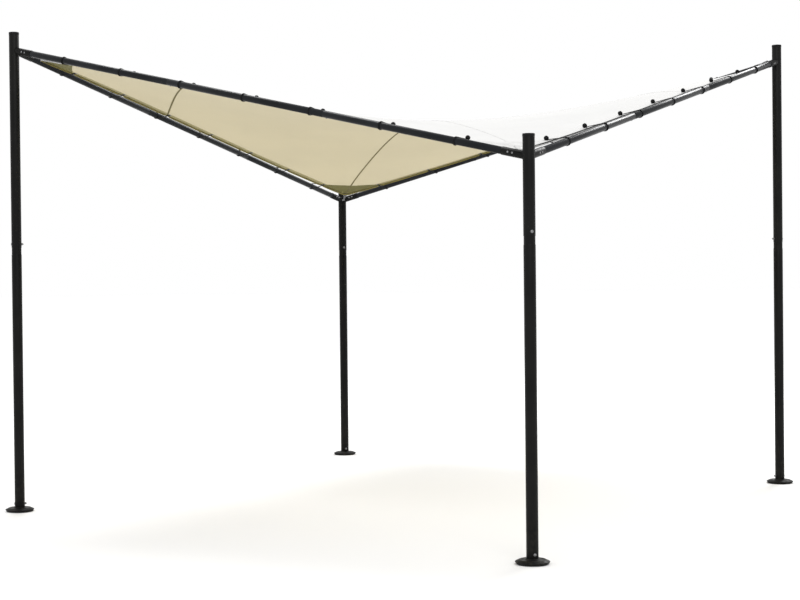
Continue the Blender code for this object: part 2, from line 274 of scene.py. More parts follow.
def powder_coat(name, colour, roughness, shine, peel_depth, dust_height=0.0):
    """Baked powder paint: orange peel, faint uneven gloss, and soil dust low on the posts and feet."""
    graph = Graph(name)
    point = graph.place()
    cloud = graph.noise(point, 5.0, 3.0)
    peel = graph.noise(point, 620.0, 1.5)
    fleck = graph.noise(point, 2400.0, 1.0)
    tone = graph.shades(cloud.between(0.35, 0.68), colour, 0.82, 1.3)
    rough = roughness + (cloud - 0.5) * 0.12 + (fleck - 0.5) * 0.08
    if dust_height:
        low = 1.0 - graph.split(point)[2].between(0.0, dust_height)
        settle = low * graph.noise(point, 38.0, 4.0).between(0.42, 0.72)
        tone = graph.mix(settle * 0.05, tone, (0.22, 0.19, 0.15))
        rough = rough + settle * 0.18
    return graph.finish({
        "Base Color": tone, "Roughness": rough, "Specular IOR Level": shine,
        "Normal": graph.bump(peel * 0.8 + fleck * 0.2, peel_depth, 0.5),
    })


def cloth(name, colour, doubled_name, doubled_share, shade_strength):
    """Woven polyester on the cloth's flat UV map, in metres from its middle, with its hem and stitches."""
    sizes = bpy.context.scene.pavilion_sizes
    doubled_shade = scaled(getattr(bpy.context.scene.pavilion_colours, doubled_name), doubled_share)
    thread_pitch, stitch_inset = 0.0011, 0.006
    thread_turns = math.pi / thread_pitch
    graph = Graph(name)
    flat = graph.place("UV")
    u, v, unused = graph.split(flat)
    across = (u + v) * math.sqrt(0.5)
    along = (u - v) * math.sqrt(0.5)
    warp, weft = (across * thread_turns).sin(), (along * thread_turns).sin()
    weave = (warp * weft) * 0.5 + (abs(warp) + abs(weft)) * 0.25
    slub_warp = graph.streaks(flat, (40.0, 900.0, 1.0))
    slub_weft = graph.streaks(flat, (900.0, 40.0, 1.0))
    cloud = graph.noise(flat, 1.6, 3.0)
    crease = graph.streaks(flat, (2.2, 9.0, 1.0))
    thread = ((slub_warp + slub_weft) * 0.5).between(0.35, 0.65)
    tone = graph.shades(cloud.between(0.3, 0.72), colour, 0.965, 1.03)
    tone = graph.mix(thread * 0.35, tone, scaled(colour, 0.94))
    edge = sizes.cloth_edge - abs(u).higher(abs(v))
    hem = 1.0 - edge.between(sizes.hem_width - 0.0012, sizes.hem_width + 0.0012)
    outer_seam = abs(abs(across) - sizes.seam_offset)
    seam = 1.0 - abs(across).lower(outer_seam).between(0.0060, 0.0075)
    # Painted shade: on the underside the hem and seams are mixed towards the darker colour of doubled cloth,
    # which lets less daylight through. On the top they are only a little darker.
    tone = graph.mix(hem * shade_strength, tone, graph.shades(cloud, doubled_shade, 0.92, 1.1))
    tone = graph.mix(seam * (shade_strength * 0.5), tone, doubled_shade)
    stitch_line = 1.0 - abs(edge - (sizes.hem_width - stitch_inset)).between(0.0006, 0.0012)
    dash = (u * 1400.0).sin().between(-0.2, 0.2) * (v * 1400.0).sin().between(-0.2, 0.2)
    tone = graph.mix(stitch_line * dash * 0.6, tone, scaled(doubled_shade, 0.75))
    height = weave * 0.5 + slub_warp * 0.25 + slub_weft * 0.25 - stitch_line * 0.8
    fine = graph.bump(height, 0.00018, 0.5)
    soft = graph.bump(crease + cloud * 0.6 - hem * 0.02, 0.0022, 0.5, Normal=fine)
    return graph.finish({
        "Base Color": tone, "Roughness": 0.78 + thread * 0.1, "Normal": soft, "Specular IOR Level": 0.28,
        "Sheen Weight": 0.15, "Sheen Roughness": 0.5,
    })


def tape(name, colour, pitch=0.0016):
    """Sewn tape and folded cloth, on UV maps in metres along and across: ribs, weft and worn high spots."""
    graph = Graph(name)
    flat = graph.place("UV")
    u, v, unused = graph.split(flat)
    rib = (u * (math.tau / pitch)).sin()
    weft = (v * (math.tau / (pitch * 0.6))).sin()
    fuzz = graph.streaks(flat, (300.0, 900.0, 1.0), 3.0)
    cloud = graph.noise(flat, 9.0, 3.0)
    tone = graph.shades(cloud.between(0.3, 0.7), colour, 0.9, 1.12)
    tone = graph.mix(rib.between(0.2, 1.0) * 0.25, tone, scaled(colour, 0.78))
    tone = graph.mix(fuzz.between(0.55, 0.8) * 0.3, tone, scaled(colour, 1.25))
    height = rib * 0.4 + weft * 0.3 + fuzz * 0.5
    return graph.finish({
        "Base Color": tone, "Roughness": 0.8 + fuzz * 0.12, "Normal": graph.bump(height, 0.0003, 0.6),
        "Specular IOR Level": 0.3,
    })


def braid(name, colour):
    """Braided elastic sheath: two sets of strands that wind opposite ways round the cord."""
    graph = Graph(name)
    u, v, unused = graph.split(graph.place("UV"))
    wind = v * (4 * math.tau)
    strands = (u * 1500.0 + wind).sin().higher((u * 1500.0 - wind).sin())
    fuzz = graph.noise(graph.place(), 1800.0)
    # Painted light and shade: the strands' crowns are painted lighter and the grooves between them darker,
    # following the bump's height.
    tone = graph.shades(strands.between(0.1, 0.95), colour, 0.5, 1.7)
    tone = graph.mix(fuzz.between(0.6, 0.8) * 0.15, tone, (0.05, 0.05, 0.052))
    return graph.finish({
        "Base Color": tone, "Roughness": 0.62 + fuzz * 0.15, "Specular IOR Level": 0.2,
        "Normal": graph.bump(strands + fuzz * 0.3, 0.0004, 0.7),
    })


def moulded(name, colour, roughness, shine):
    """Injection-moulded plastic with a fine spark-eroded grain."""
    graph = Graph(name)
    point = graph.place()
    grain = graph.noise(point, 1500.0)
    return graph.finish({
        "Base Color": graph.shades(graph.noise(point, 24.0, 3.0).between(0.3, 0.7), colour, 0.85, 1.3),
        "Roughness": roughness + (grain - 0.5) * 0.16, "Specular IOR Level": shine,
        "Normal": graph.bump(grain, 0.0002, 0.4),
    })


def zinc_plate(name, colour):
    """Bright zinc on steel: fine drawn lines, dull patches and a few dark specks."""
    graph = Graph(name)
    point = graph.place()
    drawn = graph.streaks(point, (260.0, 260.0, 2600.0))
    dull = graph.noise(point, 210.0, 3.0)
    tone = graph.shades(dull.between(0.35, 0.7), colour, 1.0, 0.72)
    tone = graph.mix(graph.noise(point, 900.0).between(0.66, 0.76) * 0.6, tone, (0.16, 0.14, 0.11))
    return graph.finish({
        "Base Color": tone, "Metallic": 1.0, "Roughness": 0.44 + dull * 0.22 + drawn * 0.08,
        "Normal": graph.bump(drawn, 0.0001, 0.3),
    })


def studio_floor(name, colour):
    """Matt studio floor with a barely uneven tone, which far away turns as bright as the backdrop."""
    graph = Graph(name)
    point = graph.place()
    x, y, unused = graph.split(point)
    far = ((x * x + y * y) ** 0.5).between(4.0, 15.0)
    return graph.finish({
        "Base Color": graph.shades(graph.noise(point, 0.35).between(0.3, 0.7), colour, 0.985, 1.0),
        "Roughness": 0.75, "Normal": graph.bump(graph.noise(point, 90.0), 0.0004, 0.2),
        "Emission Color": graph.mix(far, (0.0, 0.0, 0.0), (0.18, 0.18, 0.18)), "Emission Strength": 1.0,
    })


# Each finish: what makes it, its colour's name, and the maker's other settings in order
FINISHES = {
    "post_coat": (powder_coat, "post_paint", 0.45, 0.10, 0.00012, 0.35),
    "rail_coat": (powder_coat, "rail_paint", 0.32, 0.09, 0.00004),
    # The underside's finishes paint light: beige for daylight through the cloth, and darker hem, seam and
    # patch colours as painted shade where the cloth is doubled.
    "cloth_under": (cloth, "cloth_under", "hem", 1.0, 0.95),
    "cloth_top": (cloth, "cloth_top", "cloth_top", 0.95, 0.6),
    "seam_tape": (tape, "seam"),
    "top_tape": (tape, "cloth_top"),
    "edge_tape": (tape, "edge_cord"),
    "hem_tape": (tape, "hem"),
    "patch_cloth": (tape, "olive", 0.0011),
    "webbing": (tape, "webbing", 0.0022),
    "elastic": (braid, "elastic"),
    "ball_plastic": (moulded, "ball", 0.42, 0.1),
    "cap_plastic": (moulded, "cap", 0.5, 0.15),
    "zinc_steel": (zinc_plate, "zinc"),
    "studio_floor": (studio_floor, "floor"),
}


def material(name):
    """Returns a finish by name and makes it on first use."""
    maker, colour, *settings = FINISHES[name]
    colours = bpy.context.scene.pavilion_colours
    return bpy.data.materials.get(name) or maker(name, getattr(colours, colour), *settings)


# Mesh helpers


def turned(profile, steps=48, closed=False):
    """Turns a profile of (radius, height) points round Z. An open profile starts and ends on the axis."""
    bm = bmesh.new()
    points = [bm.verts.new((radius, 0, height)) for radius, height in profile]
    pairs = list(zip(points, points[1:]))
    if closed:
        pairs.append((points[-1], points[0]))
    edges = [bm.edges.new(pair) for pair in pairs]
    bmesh.ops.spin(bm, geom=points + edges, cent=(0, 0, 0), axis=UP, angle=math.tau, steps=steps,
                   use_merge=True)
    bmesh.ops.remove_doubles(bm, verts=bm.verts, dist=1e-7)
    return bm


def mapped_grid(columns, rows, position, uv_size=(1.0, 1.0)):
    """A grid whose vertices move to position(s, t), with s and t from 0 to 1, and a UV map of s and t."""
    bm = bmesh.new()
    layer = bm.loops.layers.uv.new("UVMap")
    bmesh.ops.create_grid(bm, x_segments=columns, y_segments=rows, size=0.5)
    for face in bm.faces:
        for loop in face.loops:
            loop[layer].uv = ((loop.vert.co.x + 0.5) * uv_size[0], (loop.vert.co.y + 0.5) * uv_size[1])
    for vert in bm.verts:
        vert.co = position(vert.co.x + 0.5, vert.co.y + 0.5)
    return bm


def sweep(path, section, up, closed=False, shares=None):
    """Sweeps a closed section of (across, up) points along a path. up is a vector, or one for each point.
    shares, where given, scales the section's height at each point."""
    count = len(path)
    columns = count if closed else count - 1
    ups = up if isinstance(up, list) else [up] * count
    run = sum((path[(i + 1) % count] - path[i]).length for i in range(columns))
    frames = []
    for i, point in enumerate(path):
        before = path[i - 1] if closed or i else point
        after = path[(i + 1) % count] if closed or i < count - 1 else point
        tangent = (after - before).normalized()
        across = tangent.cross(ups[i]).normalized()
        frames.append((point, across, across.cross(tangent)))

    def position(s, t):
        index = round(s * columns) % count
        point, across, upward = frames[index]
        a, b = section[round(t * len(section)) % len(section)]
        return point + across * a + upward * (b * (shares[index] if shares else 1.0))

    round_it = sum((Vector(a) - Vector(b)).length for a, b in zip(section, section[1:] + section[:1]))
    bm = mapped_grid(columns, len(section), position, (run, round_it))
    bmesh.ops.remove_doubles(bm, verts=bm.verts, dist=1e-7)
    if not closed:
        bmesh.ops.holes_fill(bm, edges=[edge for edge in bm.edges if edge.is_boundary], sides=0)
    return bm


def oval_section(half_width, half_height, sides=12):
    turns = [math.tau * i / sides for i in range(sides)]
    return [(half_width * math.cos(turn), half_height * math.sin(turn)) for turn in turns]


def round_section(radius, sides=10):
    return oval_section(radius, radius, sides)


def strip_section(width, thickness):
    """A flat tape with rounded edges."""
    w, h, c = width / 2, thickness / 2, min(thickness * 0.35, width * 0.2)
    return [(w, -h + c), (w, h - c), (w - c, h), (-w + c, h),
            (-w, h - c), (-w, -h + c), (-w + c, -h), (w - c, -h)]


def spread(first, last, steps):
    """Even steps from one value to another, both ends included."""
    return [first + (last - first) * i / steps for i in range(steps + 1)]


def arc(centre, x_axis, y_axis, radius, first, last, steps):
    """Points on an arc in the plane of two axes."""
    return [centre + x_axis * (radius * math.cos(turn)) + y_axis * (radius * math.sin(turn))
            for turn in spread(first, last, steps)]


def moved(shape, place):
    shape.transform(place)
    return shape


def as_mesh(name, shape):
    mesh = bpy.data.meshes.new(name)
    shape.to_mesh(mesh)
    shape.free()
    return mesh


def add_object(name, data):
    made = bpy.data.objects.new(name, data)
    bpy.context.scene.collection.objects.link(made)
    return made


def merged(shapes):
    """Joins shapes into one."""
    whole = bmesh.new()
    for shape in shapes:
        mesh = as_mesh("part", shape)
        whole.from_mesh(mesh)
        bpy.data.meshes.remove(mesh)
    return whole


def placed(origin, x_axis, z_axis):
    """The place of a piece whose X and Z lie along two axes that are square to each other."""
    z_axis = z_axis.normalized()
    x_axis = x_axis.normalized()
    turn = Matrix((x_axis, z_axis.cross(x_axis), z_axis)).transposed().to_4x4()
    turn.translation = origin
    return turn


def make_piece(name, shape, finish, replaces=(), second_finish=None):
    """Turns a shape into a shaded piece that rides with the frame."""
    bmesh.ops.recalc_face_normals(shape, faces=shape.faces)
    mesh = as_mesh(name, shape)
    mesh.shade_smooth()
    mesh.set_sharp_from_angle(angle=SHARP_ANGLE)
    mesh.materials.append(material(finish))
    if second_finish:
        mesh.materials.append(material(second_finish))
    piece = add_object(name, mesh)
    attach(piece, "root")
    if replaces:
        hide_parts(*replaces)
    return piece


def bevelled(radius, height, way, bevel=TUBE_BEVEL):
    """Three points round a tube's outer edge. way is 1 at the tube's lower end and -1 at its upper end."""
    near = (radius, height + way * bevel)
    middle = (radius - bevel * 0.3, height + way * bevel * 0.3)
    far = (radius - bevel, height)
    return (far, middle, near) if way > 0 else (near, middle, far)


# Places on the pavilion


def post_foot(sizes, corner):
    sign_x, sign_y = CORNERS[corner]
    return Vector((sign_x * sizes.half_side, sign_y * sizes.half_side, 0))


def post_top(sizes, corner):
    return sizes.high_top if corner in HIGH_CORNERS else sizes.low_top


def joint_point(sizes, corner):
    """The point where the rails' axes meet a post's axis."""
    joint = post_foot(sizes, corner)
    joint.z = post_top(sizes, corner) - sizes.above_joint
    return joint


def neighbours(corner):
    return LOW_CORNERS if corner in HIGH_CORNERS else HIGH_CORNERS


def inward(corner):
    """The level way from a post to the middle."""
    sign_x, sign_y = CORNERS[corner]
    return Vector((-sign_x, -sign_y, 0)).normalized()


def side_out(point):
    """The level way out of the side on which a point lies."""
    return Vector((point.x, 0, 0)) if abs(point.x) > abs(point.y) else Vector((0, point.y, 0))


def rail_line(sizes, first, last):
    """A rail's start, its direction to the last corner, its length and the level way to the middle."""
    start, end = joint_point(sizes, first), joint_point(sizes, last)
    run = end - start
    return start, run.normalized(), run.length, -side_out((start + end) / 2).normalized()


def cloth_height(sizes, x, y):
    """A saddle through the rails' axes that sags in the middle and is pulled towards the corners."""
    middle = (sizes.high_top + sizes.low_top) / 2 - sizes.above_joint
    twist = (sizes.high_top - sizes.low_top) / 2 / sizes.half_side**2
    inside = (1 - (x / sizes.half_side) ** 2) * (1 - (y / sizes.half_side) ** 2)
    return middle + twist * x * y + inside * (sizes.cloth_pull * x * y - sizes.cloth_sag)


def cloth_up(sizes, x, y):
    """The way out of the cloth's top at a point."""
    step = 0.001
    slope_x = (cloth_height(sizes, x + step, y) - cloth_height(sizes, x - step, y)) / (2 * step)
    slope_y = (cloth_height(sizes, x, y + step) - cloth_height(sizes, x, y - step)) / (2 * step)
    return Vector((-slope_x, -slope_y, 1)).normalized()


def bungee_place(sizes, high, low, number):
    """A bungee's place: on the rail's axis, with X along the cloth to the eyelet and Z along the rail."""
    start, along, reach, side_way = rail_line(sizes, high, low)
    share = 0.5 + (number - (BUNGEES[0] + BUNGEES[-1]) / 2) * sizes.bungee_spacing
    origin = start + along * reach * share
    square_up = side_way.cross(along)
    if square_up.z < 0:
        square_up.negate()
    rise = 0.0
    for _ in range(6):
        point = origin + side_way * sizes.eyelet_inset + square_up * rise
        rise += (cloth_height(sizes, point.x, point.y) - point.z) / square_up.z
    to_eyelet = (side_way * sizes.eyelet_inset + square_up * rise).normalized()
    return placed(origin, to_eyelet, to_eyelet.cross(square_up))


def bungee_places(sizes):
    """The place of every bungee, by its name."""
    return {f"{high}_{low}_{number}": bungee_place(sizes, high, low, number)
            for high, low in RAILS for number in BUNGEES}


def bungee_gap(sizes):
    """The distance between two bungees, measured level along a side."""
    return 2 * sizes.half_side * sizes.bungee_spacing


def edge_at(sizes, along):
    """How far the cloth reaches at a point along a side: full at the bungees, drawn in between them."""
    drawn = sizes.scallop * (1 - math.cos(math.tau * along / bungee_gap(sizes))) / 2
    return sizes.cloth_edge - drawn


def cloth_point(sizes, x, y):
    """A point of the cloth, with its soft folds and its slack edge."""
    fold = 0.0
    for sign_x, sign_y in CORNERS.values():
        away_x = x - sign_x * sizes.half_side
        away_y = y - sign_y * sizes.half_side
        distance = math.hypot(away_x, away_y)
        wave = math.cos(FOLD_COUNT * math.atan2(away_y, away_x))
        fold += FOLD_DEPTH * math.exp(-distance / FOLD_REACH) * wave * min(1.0, distance / FOLD_START)
    edge = sizes.cloth_edge - max(abs(x), abs(y))
    along = y if abs(x) > abs(y) else x
    slack = 1 - math.cos(math.tau * along / bungee_gap(sizes))
    flutter = FLUTTER_DEPTH * math.exp(-max(edge, 0.0) / FLUTTER_REACH) * slack
    return Vector((x, y, cloth_height(sizes, x, y) + fold - flutter))


# Feet and posts

POST_SPIGOT = 0.100
CAP_HEIGHT = 0.004
CAP_SKIRT = 0.015
WELD_RADIUS = 0.0024


def spigot_radius(sizes):
    """Outside of what slides into a post tube."""
    return sizes.post_radius - POST_WALL - SLIDE_GAP


def foot_plate(sizes):
    """A thick round foot with a spigot for the post."""
    radius, base, shoulder, crown = sizes.foot_radius, sizes.foot_base, sizes.foot_shoulder, sizes.foot_crown
    collar, spigot, weld = sizes.post_radius + 0.0045, spigot_radius(sizes), crown + 0.0036
    bore, floor = spigot - POST_WALL, 0.006
    profile = [(0, 0), (base, 0), (base + 0.0012, 0.0006), (radius - 0.0016, 0.0098)]
    profile += [(radius - 0.0004, 0.0112), (radius, 0.0125), (radius - 0.0004, 0.0138)]
    profile.append((radius - 0.0020, 0.0150))
    profile += [(shoulder + 0.0020, crown - 0.0020), (shoulder, crown - 0.0011)]
    profile += [(shoulder - 0.0022, crown - 0.0009), (shoulder - 0.0048, crown - 0.0024)]
    profile += [(collar + 0.010, crown - 0.0020), (collar + 0.002, crown - 0.0010), (collar, crown)]
    profile += [(collar - 0.001, crown + 0.0022), (sizes.post_radius + 0.0006, weld), (spigot, weld)]
    profile += [(spigot, POST_SPIGOT), (bore, POST_SPIGOT), (bore, floor), (0, floor)]
    return turned(profile, 72)


def lower_tube(sizes):
    """The lower tube, drawn in at its top to a neck and then to a spigot."""
    outer, inner, spigot = sizes.post_radius, sizes.post_radius - POST_WALL, spigot_radius(sizes)
    bottom, neck, split = sizes.foot_crown + SLIDE_GAP, sizes.neck_bottom, sizes.post_split - SLIDE_GAP
    tip = split + POST_SPIGOT
    profile = [*bevelled(outer, bottom, 1), (outer, neck), (outer - 0.0003, neck + 0.0010)]
    profile += [(sizes.neck_radius + 0.0002, neck + 0.0028), (sizes.neck_radius, neck + 0.0040)]
    profile += [(sizes.neck_radius, split), (spigot, split), (spigot, tip), (spigot - POST_WALL, tip)]
    profile += [(spigot - POST_WALL, neck), (inner, neck - 0.005), (inner, bottom)]
    return turned(profile, 64, closed=True)


def upper_tube(sizes, top):
    """The upper tube, open at both ends; its top end holds the cap."""
    inner, bottom = sizes.post_radius - POST_WALL, sizes.post_split
    profile = [*bevelled(sizes.post_radius, bottom, 1), *bevelled(sizes.post_radius, top, -1)]
    return turned([*profile, (inner, top), (inner, bottom)], 64, closed=True)


def post_cap(sizes):
    """A moulded cap: a low crowned head with a skirt over the tube's end."""
    bore, head = sizes.post_radius + 0.0001, sizes.post_radius + 0.0009
    crown, skirt = CAP_HEIGHT, CAP_HEIGHT - CAP_SKIRT
    profile = [(0, 0.0002), (bore, 0.0002), (bore, skirt), (head - 0.0003, skirt), (head, skirt + 0.0006)]
    profile += [(head, crown - 0.0022), (head - 0.0008, crown - 0.0009), (head - 0.0025, crown - 0.0002)]
    return turned([*profile, (head - 0.006, crown), (0, crown)], 64)


def coping(sizes, along, side, radius, reach):
    """How far along a socket's line the post's surface lies, for a line that is offset by side * radius."""
    flat_way = Vector((along.x, along.y))
    offset = Vector((side.x, side.y)) * radius
    a = flat_way.length_squared
    b = 2 * offset.dot(flat_way)
    c = offset.length_squared - reach**2
    return (-b + math.sqrt(max(b * b - 4 * a * c, 0.0))) / (2 * a)


def rail_socket(sizes, joint, along):
    """A short sleeve whose inner end is coped to the round post, with a weld bead round it."""
    inner, mouth = sizes.rail_radius + SLIDE_GAP, sizes.socket_reach
    outer, buried = inner + sizes.socket_wall, sizes.post_radius - 0.0008
    side = along.cross(UP).normalized()
    upward = side.cross(along)
    loop = [(outer, None), *bevelled(outer, mouth, -1), (inner, mouth), (inner, None)]

    def way_at(turn):
        return side * math.cos(turn) + upward * math.sin(turn)

    def position(s, t):
        way = way_at(math.tau * s)
        radius, distance = loop[round(t * len(loop)) % len(loop)]
        if distance is None:
            distance = coping(sizes, along, way, radius, buried)
        return joint + way * radius + along * distance

    sleeve = mapped_grid(48, len(loop), position)
    bmesh.ops.remove_doubles(sleeve, verts=sleeve.verts, dist=1e-7)
    path, ups = [], []
    steps, ripples, ripple = 96, 16, 0.0004
    for i in range(steps):
        turn = math.tau * i / steps
        way = way_at(turn)
        swell = ripple * math.cos(turn * ripples)
        distance = coping(sizes, along, way, outer, sizes.post_radius) + 0.0003 + swell
        path.append(joint + way * (outer + swell) + along * distance)
        ups.append(way)
    return [sleeve, sweep(path, round_section(WELD_RADIUS, 8), ups, closed=True)]


class PAVILION_OT_feet(bpy.types.Operator):
    """Thick round feet with a sloping edge, a ridge round the top, a welded collar and a spigot"""

    bl_idname = "pavilion.feet"
    bl_label = "Feet"

    def execute(self, context):
        sizes = context.scene.pavilion_sizes
        for corner in CORNERS:
            foot = moved(foot_plate(sizes), Matrix.Translation(post_foot(sizes, corner)))
            make_piece(f"foot_plate_{corner}", foot, "post_coat", [f"foot_{corner}"])
        return {"FINISHED"}


class PAVILION_OT_posts(bpy.types.Operator):
    """Post tubes, each upper one with two welded rail sockets and a cap"""

    bl_idname = "pavilion.posts"
    bl_label = "Posts"

    def execute(self, context):
        sizes = context.scene.pavilion_sizes
        for corner in CORNERS:
            foot = Matrix.Translation(post_foot(sizes, corner))
            top = post_top(sizes, corner) - CAP_HEIGHT
            lower = moved(lower_tube(sizes), foot)
            make_piece(f"lower_tube_{corner}", lower, "post_coat", [f"lower_post_{corner}"])
            parts = [moved(upper_tube(sizes, top), foot)]
            for other in neighbours(corner):
                joint, along, reach, side_way = rail_line(sizes, corner, other)
                parts += rail_socket(sizes, joint, along)
            upper = merged(parts)
            make_piece(f"upper_tube_{corner}", upper, "post_coat", [f"upper_post_{corner}"])
            cap = moved(post_cap(sizes), foot @ Matrix.Translation(UP * top))
            make_piece(f"post_cap_{corner}", cap, "cap_plastic")
        return {"FINISHED"}


# Rails

RAIL_INSET = 0.050
RAIL_SPIGOT = 0.060
RAIL_BEVEL = 0.0007
SCREW_DISTANCE = 0.022


def rail_tube(sizes, top, end, has_spigot):
    """One tube of a rail, with a drawn-in end where another tube follows."""
    outer, inner = sizes.rail_radius, sizes.rail_radius - RAIL_WALL
    top += SLIDE_GAP
    profile = [*bevelled(outer, top, 1, RAIL_BEVEL), *bevelled(outer, end, -1, RAIL_BEVEL)]
    if has_spigot:
        spigot, tip = inner - SLIDE_GAP, end + RAIL_SPIGOT
        profile += [(spigot, end), (spigot, tip), (spigot - RAIL_WALL, tip), (spigot - RAIL_WALL, end)]
        end -= 0.005
    return turned([*profile, (inner, end), (inner, top)], 48, closed=True)


class PAVILION_OT_rails(bpy.types.Operator):
    """Rails of three tubes each, with a drawn-in end inside the next tube and a screw through each joint"""

    bl_idname = "pavilion.rails"
    bl_label = "Rails"

    def execute(self, context):
        sizes = context.scene.pavilion_sizes
        screws = []
        for high, low in RAILS:
            start, along, reach, side_way = rail_line(sizes, high, low)
            third = (reach - 2 * sizes.socket_reach) / 3
            joints = [sizes.socket_reach + third, sizes.socket_reach + 2 * third]
            splits = [RAIL_INSET, *joints, reach - RAIL_INSET]
            place = placed(start, side_way, along)
            for part, top, end in zip(RAIL_PARTS, splits, splits[1:]):
                tube = moved(rail_tube(sizes, top, end, part != "low"), place)
                name = f"{high}_{low}_{part}"
                make_piece(f"rail_tube_{name}", tube, "rail_coat", [f"rail_{name}"])
            down = side_way.cross(along)
            if down.z > 0:
                down.negate()
            for split in joints:
                seat = start + along * (split + SCREW_DISTANCE) + down * (sizes.rail_radius - 0.0002)
                screws.append(moved(pan_screw(), placed(seat, along, down)))
        make_piece("rail_screws", merged(screws), "zinc_steel")
        return {"FINISHED"}


# Fasteners, along Z

JOINT_BOLT_HEIGHT = 1.622
FOOT_BOLT_HEIGHT = 0.048
SOCKET_BOLT_DISTANCES = (0.083, 0.109)
BOLT_BITE = 0.0006
SHANK_RADIUS = 0.004
SMALL_SHANK_RADIUS = 0.003
SMALL_NUT_WIDTH = 0.0085
NUT_WIDTH = 0.013
NUT_HEIGHT = 0.0062
NUT_BEVEL = 0.0007
WASHER_HEIGHT = 0.0012


def pan_screw():
    """A small pan-head screw with a recess. Its head stands on Z = 0."""
    profile = [(0, 0), (0.0042, 0), (0.0042, 0.0008), (0.0038, 0.0018)]
    return turned([*profile, (0.0028, 0.0026), (0.0012, 0.0029), (0.0010, 0.0018), (0, 0.0016)], 24)


def nut(across):
    """A hexagon nut from Z = 0 up, with its outer face's edges taken off."""
    bm = bmesh.new()
    radius = across / math.sqrt(3)
    bmesh.ops.create_cone(bm, cap_ends=True, segments=6, radius1=radius, radius2=radius, depth=NUT_HEIGHT)
    bmesh.ops.translate(bm, verts=bm.verts, vec=(0, 0, NUT_HEIGHT / 2))
    top = [edge for edge in bm.edges if all(vert.co.z > NUT_HEIGHT * 0.9 for vert in edge.verts)]
    bmesh.ops.bevel(bm, geom=top, offset=NUT_BEVEL, segments=2, profile=0.5, affect="EDGES", material=-1)
    return bm


def washer(inner, outer):
    edge = WASHER_HEIGHT * 0.3
    return turned([(inner, 0), (outer, 0), (outer, WASHER_HEIGHT - edge), (outer - edge, WASHER_HEIGHT),
                   (inner, WASHER_HEIGHT)], 32, closed=True)


def mushroom(radius, height):
    """A domed bolt head on Z = 0."""
    profile = [(0, 0), (radius, 0), (radius, height * 0.16)]
    for angle in (15, 35, 55, 75):
        turn = math.radians(angle)
        profile.append((radius * math.cos(turn), height * (0.16 + 0.84 * math.sin(turn))))
    return turned([*profile, (0, height)], 32)


def bolt(place, grip, across=NUT_WIDTH, shank=SHANK_RADIUS):
    """A through bolt in the middle of its grip: domed head at +Z, nut, washer and thread end at -Z."""
    head_seat = Matrix.Translation((0, 0, grip / 2))
    nut_seat = Matrix.Rotation(math.pi, 4, "X") @ head_seat
    thread = [(0, 0), (shank, 0), (shank, 0.0105), (shank - 0.0008, 0.0118), (0, 0.0118)]
    parts = [
        (mushroom(across * 0.62, across * 0.28), head_seat),
        (washer(shank, across * 0.62), nut_seat),
        (nut(across), nut_seat @ Matrix.Translation((0, 0, WASHER_HEIGHT))),
        (turned(thread, 24), nut_seat),
    ]
    return [moved(shape, place @ seat) for shape, seat in parts]


class PAVILION_OT_bolts(bpy.types.Operator):
    """Bolts through the post joints, the feet and the rail sockets"""

    bl_idname = "pavilion.bolts"
    bl_label = "Bolts"

    def execute(self, context):
        sizes = context.scene.pavilion_sizes
        socket_grip = 2 * (sizes.rail_radius + sizes.socket_wall) - 0.0002
        for corner in CORNERS:
            way = -inward(corner)
            if corner in LOW_CORNERS:
                way = Matrix.Rotation(sizes.bolt_turn, 3, "Z") @ way
            post_bolts, socket_bolts = [], []
            for height in (FOOT_BOLT_HEIGHT, JOINT_BOLT_HEIGHT):
                place = placed(post_foot(sizes, corner) + UP * height, UP, way)
                post_bolts += bolt(place, 2 * sizes.post_radius - BOLT_BITE)
            for other in neighbours(corner):
                joint, along, reach, side_way = rail_line(sizes, corner, other)
                for distance in SOCKET_BOLT_DISTANCES:
                    place = placed(joint + along * distance, along, -side_way)
                    socket_bolts += bolt(place, socket_grip, SMALL_NUT_WIDTH, SMALL_SHANK_RADIUS)
            make_piece(f"post_bolts_{corner}", merged(post_bolts), "zinc_steel")
            make_piece(f"socket_bolts_{corner}", merged(socket_bolts), "zinc_steel")
        return {"FINISHED"}


# Canopy

CLOTH_CELLS = 132
SEAM_THICKNESS = 0.0011
SEAM_LIFT = 0.0004
PATCH_THICKNESS = 0.0007
PATCH_LIFT = 0.0003
PATCH_BOW = 0.012
PATCH_INSET = 0.004
FLAP_THICKNESS = 0.0018
FLAP_DRAWN_UP = 0.50
FLAP_DRAWN_WIDTH = 0.018
EYELET_COLLAR = 0.0062
HOLE_DEPTH = 0.03
HEM_CORD_HEIGHT = 0.0060
FACES = {"under": -1, "top": 1}


def cut_line(sizes):
    """The cut corner is the line on which |x| + |y| has this value."""
    return 2 * (sizes.half_side - sizes.corner_inset)


def eyelet_seats(sizes):
    return [place @ Matrix.Translation((sizes.eyelet_inset, 0, 0)) for place in bungee_places(sizes).values()]


